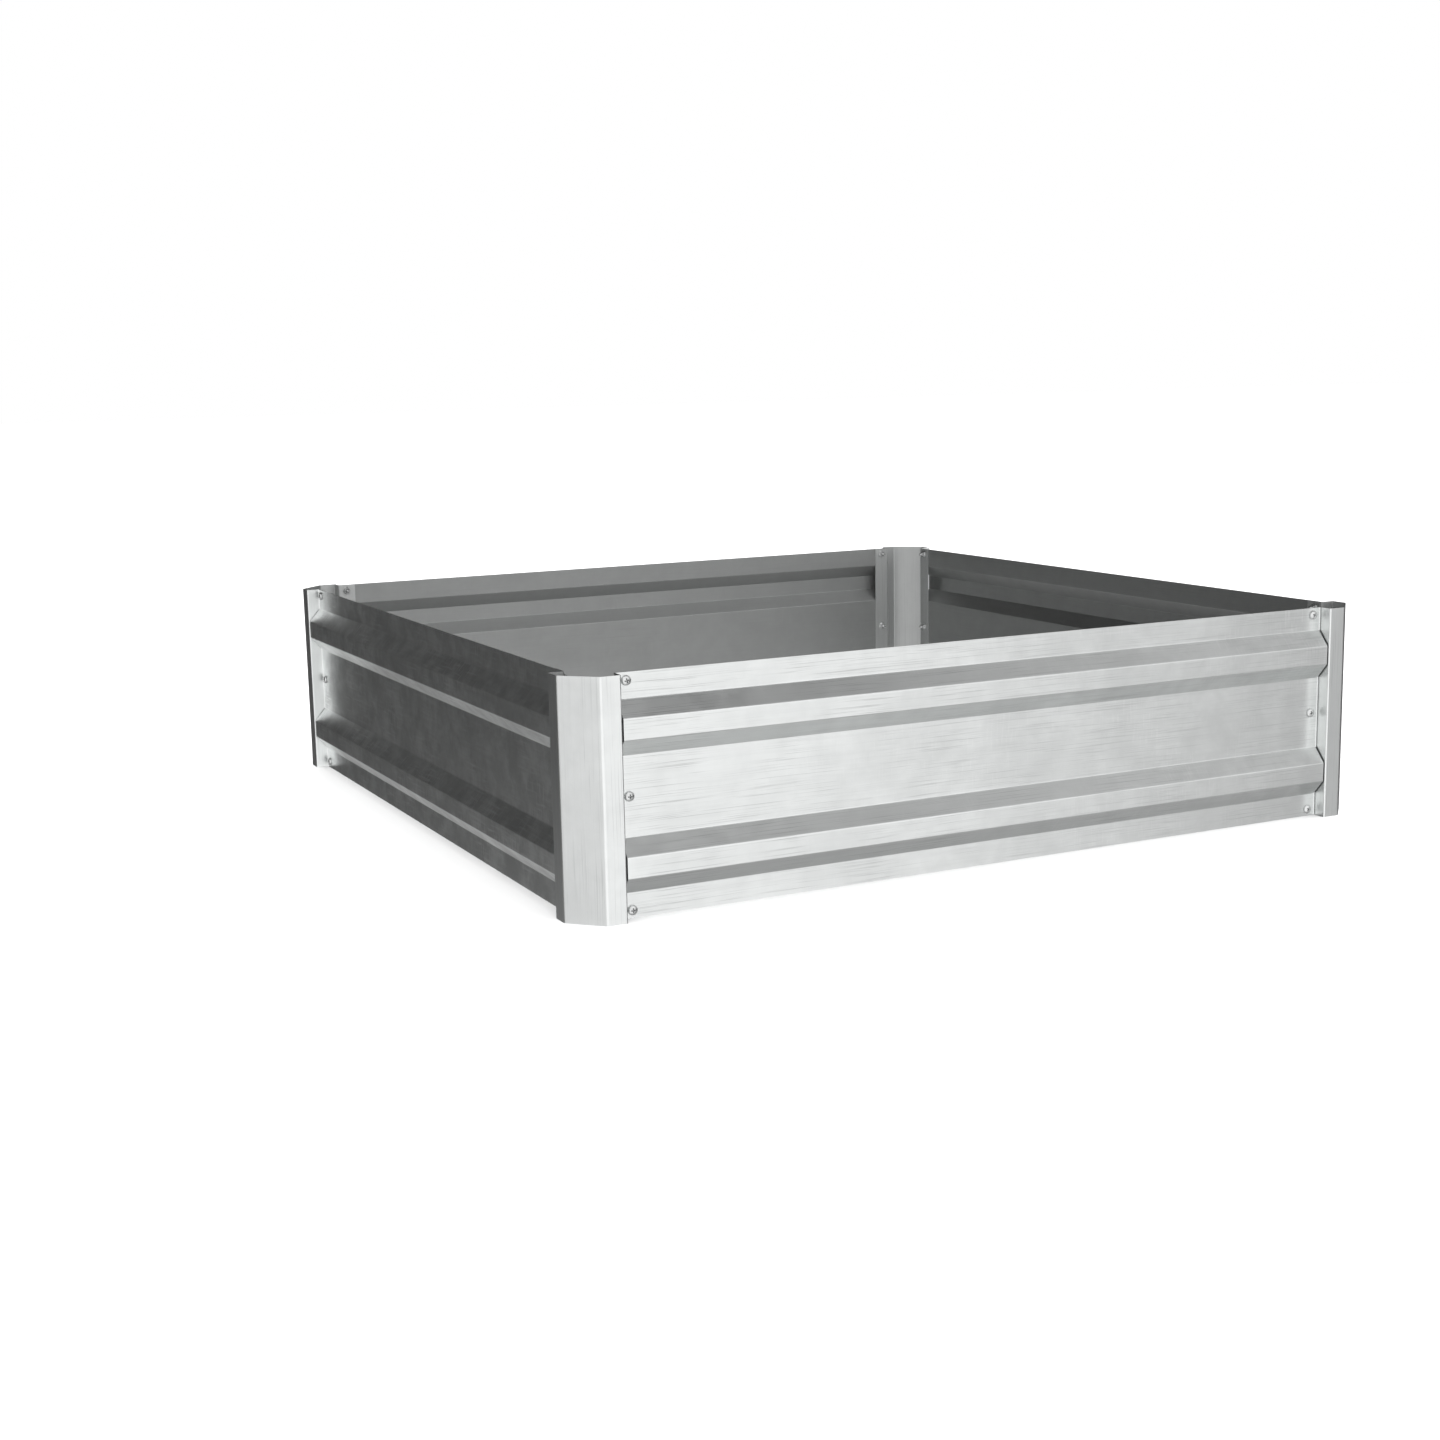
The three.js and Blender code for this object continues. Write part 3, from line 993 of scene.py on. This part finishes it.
def groove(height, size):
    """How deep a thread's groove is, from 0 to 1: a triangle wave of height / pitch - angle."""
    turn = height / size.thread_pitch - ANGLES / math.tau
    return np.abs((turn % 1) * 2 - 1)


def stacked(*stretches):
    """The grids of a turned piece, row by row along its profile. Each stretch of the profile
    has a column or a grid, or one number, for each of them."""
    full = [np.broadcast_arrays(*stretch, ANGLES)[:-1] for stretch in stretches]
    return [np.concatenate(grids) for grids in zip(*full)]


def turned_piece(name, grids, closed, side, place):
    """A piece turned about Y from grids of radius, height and hollow.

    point(i, j) = (radius_ij cos a_j, height_ij, radius_ij sin a_j). A closed profile joins its
    last row to its first, and an open one ends in a single point at each pole.
    """
    radius, height, hollow = grids
    rows = len(radius)
    points = np.stack([radius * np.cos(ANGLES), height, radius * np.sin(ANGLES)], -1)
    index = np.arange(rows * ROUND).reshape(rows, ROUND)
    ring = np.concatenate([index, index[:, :1]], 1)
    poles, pole_hollows = points[[0, -1]].mean(1), hollow[[0, -1]].mean(1)
    points, hollow = points.reshape(-1, 3), hollow.ravel()
    if closed:
        faces = [grid_quads(np.concatenate([ring, ring[:1]]))]
    else:
        first, last = rows * ROUND, rows * ROUND + 1
        faces = [
            grid_quads(ring),
            np.stack([np.full(ROUND, first), ring[0, :-1], ring[0, 1:]], -1),
            np.stack([np.full(ROUND, last), ring[-1, 1:], ring[-1, :-1]], -1),
        ]
        points = np.concatenate([points, poles])
        hollow = np.concatenate([hollow, pole_hollows])
    return make_mesh(name, turned(points, side) + place, faces, layers={"hollow": hollow})


# ---- Bolts --------------------------------------------------------------------------------

BOLT_ROUGHNESS = 0.2

# What the bolts' seed for their turns adds to the bed's own.
BOLT_SEED = 40

# The dome of the head: rows from near its middle to the rim, and how square its shoulder is.
DOME = np.linspace(0.02, 1, 26)[:, None]
DOME_POWER = 2.4

# How wide the slope of the cross recess's walls is, and how many times wider that at the ends of
# its arms is.
RECESS_SLOPE = 0.00028
ARM_END = 4

# The head below its dome, as shares of the rim's height and of the head's radius.
RIM_HEIGHTS = np.array([-0.7, -0.25, -0.08, 0, 0, 0])[:, None]
RIM_RADII = np.array([1, 1, 0.99, 0.965, 0.7, 0.6])[:, None]

# The plain shank ends and the thread starts at these shares of the bolt's reach. The plain shank
# is thinner than the thread by this share of its depth, and has a row this far below the head.
PLAIN_END = 0.4
THREAD_START = 0.42
PLAIN_DEPTH = 0.4
PLAIN_STEP = 0.0002

# Rows of the thread for each pitch that the bolt reaches.
THREAD_ROWS = 4

# The bolt's tip: how far before its end the thread stops and the chamfer starts, and its radii as
# shares of the shank's.
THREAD_STOP = 0.0006
TIP_CHAMFER = 0.0003
TIP_RADII = np.array([0.86, 0.74, 0.02])[:, None]


def bolt_grids(size, head_radius, head_height, reach, spin):
    """Radius, height and hollow of a pan head bolt. Its head's underside is at height 0, the head
    rises to -head_height and the shank runs to reach.

    The dome is height = -rim - (head - rim) * sqrt(1 - (r / R)^power), and the cross recess sinks
    it by depth * (arm mask), where an arm is narrower than its width and shorter than its span.
    """
    shank = size.shank / 2
    dome_radius = head_radius * DOME
    rise = (head_height - size.rim) * np.sqrt(np.clip(1 - DOME ** DOME_POWER, 0, 1))
    across = np.abs(dome_radius * np.cos(ANGLES + spin)), np.abs(dome_radius * np.sin(ANGLES + spin))
    arm_half = size.recess_width / 2
    arm_tip = size.recess_span / 2
    arm = 1 - smooth(arm_half - RECESS_SLOPE / 2, arm_half + RECESS_SLOPE / 2, np.minimum(*across))
    arm = arm * (1 - smooth(arm_tip - ARM_END * RECESS_SLOPE, arm_tip, np.maximum(*across)))
    plain = np.array([0, PLAIN_STEP, PLAIN_END * reach])[:, None]
    cut = np.linspace(THREAD_START * reach, reach - THREAD_STOP,
                      math.ceil(THREAD_ROWS * reach / size.thread_pitch))[:, None]
    cut_groove = groove(cut, size)
    tip = np.array([reach - TIP_CHAMFER, reach, reach])[:, None]
    return stacked(
        (dome_radius, arm * size.recess_depth - size.rim - rise, arm),
        (RIM_RADII * head_radius, RIM_HEIGHTS * size.rim, 0.0),
        (shank - size.thread_depth * PLAIN_DEPTH, plain, 0.0),
        (shank - size.thread_depth * cut_groove, cut, cut_groove),
        (TIP_RADII * shank, tip, 0.0),
    )


def make_bolt(side, place, spin, settings, material):
    """One bolt. Its head stays off the panel's face by the gap that the panel, the post's flange
    and the nut keep from each other: half of the room that the flange leaves between the two."""
    axis = facing_axis(side)
    node = f"bolt_{place}"
    head_top, length_over, head_radius = outer_end(node, side)
    face = panel_face(side, settings)
    flange = reach_of(f"nut_{place}", axis) + settings.post.sheet
    gap = (face - settings.panel.sheet - flange) / 2
    head_height = abs(head_top[axis]) - face - gap
    seat = head_top.copy()
    seat[axis] -= math.copysign(head_height, head_top[axis])
    grids = bolt_grids(settings.fastener, head_radius, head_height, length_over - head_height, spin)
    piece = turned_piece(f"pan_{node}", grids, False, side, seat)
    dress(piece, node, material)


class BED_OT_bolts(Operator):
    """Builds the pan head bolts"""

    bl_idname = "garden_bed.bolts"
    bl_label = "Bolts"

    def execute(self, context):
        settings = context.scene.garden_bed
        material = plated_steel("Plated bolt", settings.fastener.bolt_colour, BOLT_ROUGHNESS)
        dice = np.random.default_rng(settings.seed + BOLT_SEED)
        for side, place in bolted_places():
            make_bolt(side, place, dice.uniform(0, math.tau), settings, material)
        return {"FINISHED"}


# ---- Nuts ---------------------------------------------------------------------------------

NUT_ROUGHNESS = 0.26
HEXAGON_SECTOR = math.tau / 6

# The flange's rounded edge, as shares of its radius and of its rim's height, and what its foot
# adds to the heights.
FLANGE_RADII = np.array([0.9, 0.97, 1, 1, 0.985, 0.96])[:, None]
FLANGE_HEIGHTS = np.array([0, 0, 0, 0.6, 0.9, 1])[:, None]
FOOT_HEIGHTS = np.array([0, 0.00004, 0.0002, 0, 0, 0])[:, None]

# Rows of the cone from the flange to the hexagon, of the hexagon and of the bore, and how far
# above the cone the hexagon's first row is.
CONE = np.linspace(0.2, 1, 6)[:, None]
BODY_ROWS = 10
BODY_STEP = 0.0002
BORE_ROWS = 30

# The chamfer on the hexagon's top: its radius there over that of the flats, and how fast it
# widens below.
CHAMFER_TOP = 0.97
CHAMFER_SLOPE = 1.6

# The top's rows, over the radius of the flats, and the sole's rows, over that of the bore.
TOP_RADII = np.array([0.82, 0.74])[:, None]
SOLE_RADII = np.array([1.18, 1.3])[:, None]

# How far the thread stays off the bore's ends, its least and added depth in the nut, and the
# depth up to which the nut is rougher and painted dark as shade.
BORE_END = 0.0004
NUT_CREST = 0.3
NUT_DEPTH = 0.7
DULL_AND_SHADED_DEPTH = 1.2


def nut_grids(size, rim_radius, nut_height):
    """Radius, height and hollow of a flange nut, round its closed profile. The flange rests at
    height 0.

    The hexagon's radius is (flats / 2) / cos(angle from the middle of its flat), and a cone cuts
    its corners: radius <= flats / 2 * top share + slope * (top - height). The bore's radius is
    bore + depth * (crest + added depth * groove).
    """
    flat = size.flats / 2
    sector_angle = (ANGLES + HEXAGON_SECTOR / 2) % HEXAGON_SECTOR - HEXAGON_SECTOR / 2
    hexagon = flat / np.cos(sector_angle)
    bore = size.shank / 2 + size.thread_gap
    cone_top = size.flange_rim + size.flange_slope
    body = np.linspace(cone_top + BODY_STEP, nut_height, BODY_ROWS)[:, None]
    chamfer = flat * CHAMFER_TOP + (nut_height - body) * CHAMFER_SLOPE
    inner = np.linspace(nut_height - BORE_END, BORE_END, BORE_ROWS)[:, None]
    cut = NUT_CREST + NUT_DEPTH * groove(inner, size)
    radius, height = stacked(
        (FLANGE_RADII * rim_radius, FLANGE_HEIGHTS * size.flange_rim + FOOT_HEIGHTS),
        ((1 - CONE) * FLANGE_RADII[-1] * rim_radius + CONE * hexagon,
         size.flange_rim + CONE * size.flange_slope),
        (np.minimum(hexagon, chamfer), body),
        (TOP_RADII * flat, nut_height),
        (bore + size.thread_depth * cut, inner),
        (SOLE_RADII * bore, 0.0),
    )
    hollow = (radius < bore + DULL_AND_SHADED_DEPTH * size.thread_depth).astype(float)
    return radius, height, hollow


def make_nut(side, place, settings, material):
    """One flange nut, resting on the inner face of the post's flange."""
    node = f"nut_{place}"
    seat, nut_height, rim_radius = outer_end(node, side)
    grids = nut_grids(settings.fastener, rim_radius, nut_height)
    piece = turned_piece(f"flange_{node}", grids, True, side, seat)
    dress(piece, node, material)


class BED_OT_nuts(Operator):
    """Builds the flange nuts behind the posts' flanges"""

    bl_idname = "garden_bed.nuts"
    bl_label = "Nuts"

    def execute(self, context):
        settings = context.scene.garden_bed
        material = plated_steel("Plated nut", settings.fastener.nut_colour, NUT_ROUGHNESS)
        for side, place in bolted_places():
            make_nut(side, place, settings, material)
        return {"FINISHED"}


# ---- Stage --------------------------------------------------------------------------------

# Brightness of the studio by height, from straight down to straight up.
STUDIO_BY_HEIGHT = ((-1.0, 0.36), (-0.8, 0.42), (-0.55, 0.42), (-0.4, 0.39), (-0.29, 0.22),
                    (-0.2, 0.082), (-0.1, 0.057), (0.3, 0.07), (0.65, 0.055), (1.0, 0.05))

# Each light of the studio: its middle, and how far from it, in degrees, it starts and ends fading.
FRONT_LIGHT = ((-0.279, -0.943, 0.184), 54.3, 67.6)
HIGH_LIGHT = ((0.849, -0.267, 0.455), 24.0, 31.9)
HIGH_FILL = ((0.5, 0.2, 0.85), 0.0, 90.0)

WHITE = (1.0, 1.0, 1.0)
FLOOR_ROUGHNESS = 0.9

# The width of the picture on the film, in millimetres, that the lens goes with.
FILM_WIDTH = 36.0


def light_patch(tree, direction, light, brightness):
    """A round soft light in the studio: brightness * step(cos of the angle to its middle)."""
    middle, inner, outer = light
    middle = np.array(middle) / np.linalg.norm(middle)
    closeness = vector_node(tree, "DOT_PRODUCT", direction, middle)["Value"]
    step = ramp(tree, closeness, math.cos(math.radians(outer)), math.cos(math.radians(inner)))
    return math_node(tree, "MULTIPLY", step, brightness)


def make_studio(stage):
    """The light all round. The camera sees a plain bright backdrop and the floor gets soft light
    from above. What shines mirrors a dim room with a pale floor, a large light at the front left
    and a smaller one above the right: the brighter of the room and each light."""
    world = bpy.data.worlds.new("Studio")
    bpy.context.scene.world = world
    world.use_nodes = True
    tree = world.node_tree
    background = tree.nodes["Background"]
    feed(tree, background.inputs["Color"], WHITE)
    direction = tree.nodes.new("ShaderNodeTexCoord").outputs["Generated"]
    parts = tree.nodes.new("ShaderNodeSeparateXYZ")
    feed(tree, parts.inputs[0], direction)
    curve = tree.nodes.new("ShaderNodeFloatCurve")
    points = curve.mapping.curves[0].points
    while len(points) < len(STUDIO_BY_HEIGHT):
        points.new(0.5, 0.5)
    for point, (height, brightness) in zip(points, STUDIO_BY_HEIGHT):
        point.location = ((height + 1) / 2, brightness)
    curve.mapping.update()
    feed(tree, curve.inputs["Value"], ramp(tree, parts.outputs["Z"], -1.0, 1.0, eased=False))
    room = curve.outputs[0]
    for light, strength in ((FRONT_LIGHT, stage.front_light), (HIGH_LIGHT, stage.high_light)):
        room = math_node(tree, "MAXIMUM", room, light_patch(tree, direction, light, strength))
    above = light_patch(tree, direction, HIGH_FILL, stage.high_fill)
    fill = math_node(tree, "ADD", above, stage.fill)
    path = tree.nodes.new("ShaderNodeLightPath")
    seen = math_node(tree, "MULTIPLY", path.outputs["Is Camera Ray"], stage.backdrop)
    seen = math_node(tree, "MULTIPLY_ADD", path.outputs["Is Diffuse Ray"], fill, seen)
    seen = math_node(tree, "MULTIPLY_ADD", path.outputs["Is Glossy Ray"], room, seen)
    feed(tree, background.inputs["Strength"], seen)


def make_floor(stage):
    """A plain pale floor that the shining steel doesn't mirror."""
    half = stage.floor_span / 2
    points = np.array([[-half, -half, 0], [half, -half, 0], [half, half, 0], [-half, half, 0]])
    floor = make_mesh("studio_floor", points, [np.array([[0, 1, 2, 3]])])
    material = bpy.data.materials.new("Pale floor")
    material.use_nodes = True
    tree = material.node_tree
    shader = tree.nodes["Principled BSDF"]
    feed(tree, shader.inputs["Base Color"], stage.floor_colour)
    feed(tree, shader.inputs["Roughness"], FLOOR_ROUGHNESS)
    feed(tree, shader.inputs["Specular IOR Level"], 0.0)
    floor.data.materials.append(material)
    floor.visible_glossy = False


def make_camera(stage):
    """The camera, level turn first, then tilt, then roll."""
    data = bpy.data.cameras.new("camera")
    data.lens = stage.lens
    data.sensor_width = FILM_WIDTH
    camera = bpy.data.objects.new("camera", data)
    bpy.context.scene.collection.objects.link(camera)
    turn, tilt, roll = stage.camera_turn
    aim = (Matrix.Rotation(-turn, 4, "Z") @ Matrix.Rotation(math.pi / 2 + tilt, 4, "X")
           @ Matrix.Rotation(roll, 4, "Z"))
    camera.matrix_world = Matrix.Translation(stage.camera_place) @ aim
    bpy.context.scene.camera = camera


class BED_OT_stage(Operator):
    """Builds the floor, the studio light and the camera"""

    bl_idname = "garden_bed.stage"
    bl_label = "Stage"

    def execute(self, context):
        stage = context.scene.garden_bed.stage
        make_studio(stage)
        make_floor(stage)
        make_camera(stage)
        context.scene.view_settings.view_transform = "Standard"
        return {"FINISHED"}


# ---- Sidebar and registration -------------------------------------------------------------

OPERATORS = (BED_OT_stage, BED_OT_panels, BED_OT_posts, BED_OT_bolts, BED_OT_nuts)


class BED_PT_sidebar(Panel):
    """Lists the bed's operators and its settings"""

    bl_idname = "BED_PT_sidebar"
    bl_label = "Raised garden bed"
    bl_space_type = "VIEW_3D"
    bl_region_type = "UI"
    bl_category = "Garden bed"

    def draw(self, context):
        settings = context.scene.garden_bed
        for operator in OPERATORS:
            self.layout.operator(operator.bl_idname)
        for name in ("panel", "post", "fastener", "finish", "stage"):
            group = getattr(settings, name)
            box = self.layout.box()
            box.label(text=name.capitalize())
            for key in group.__annotations__:
                box.prop(group, key)


CLASSES = (BedPanelSettings, BedPostSettings, BedFastenerSettings, BedFinishSettings,
           BedStageSettings, BedSettings, *OPERATORS, BED_PT_sidebar)


def register():
    for cls in CLASSES:
        bpy.utils.register_class(cls)
    bpy.types.Scene.garden_bed = PointerProperty(type=BedSettings)


def unregister():
    del bpy.types.Scene.garden_bed
    for cls in reversed(CLASSES):
        bpy.utils.unregister_class(cls)


def main():
    """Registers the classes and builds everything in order."""
    register()
    bpy.ops.garden_bed.stage()
    bpy.ops.garden_bed.panels()
    bpy.ops.garden_bed.posts()
    bpy.ops.garden_bed.bolts()
    bpy.ops.garden_bed.nuts()


if __name__ == "__main__":
    main()
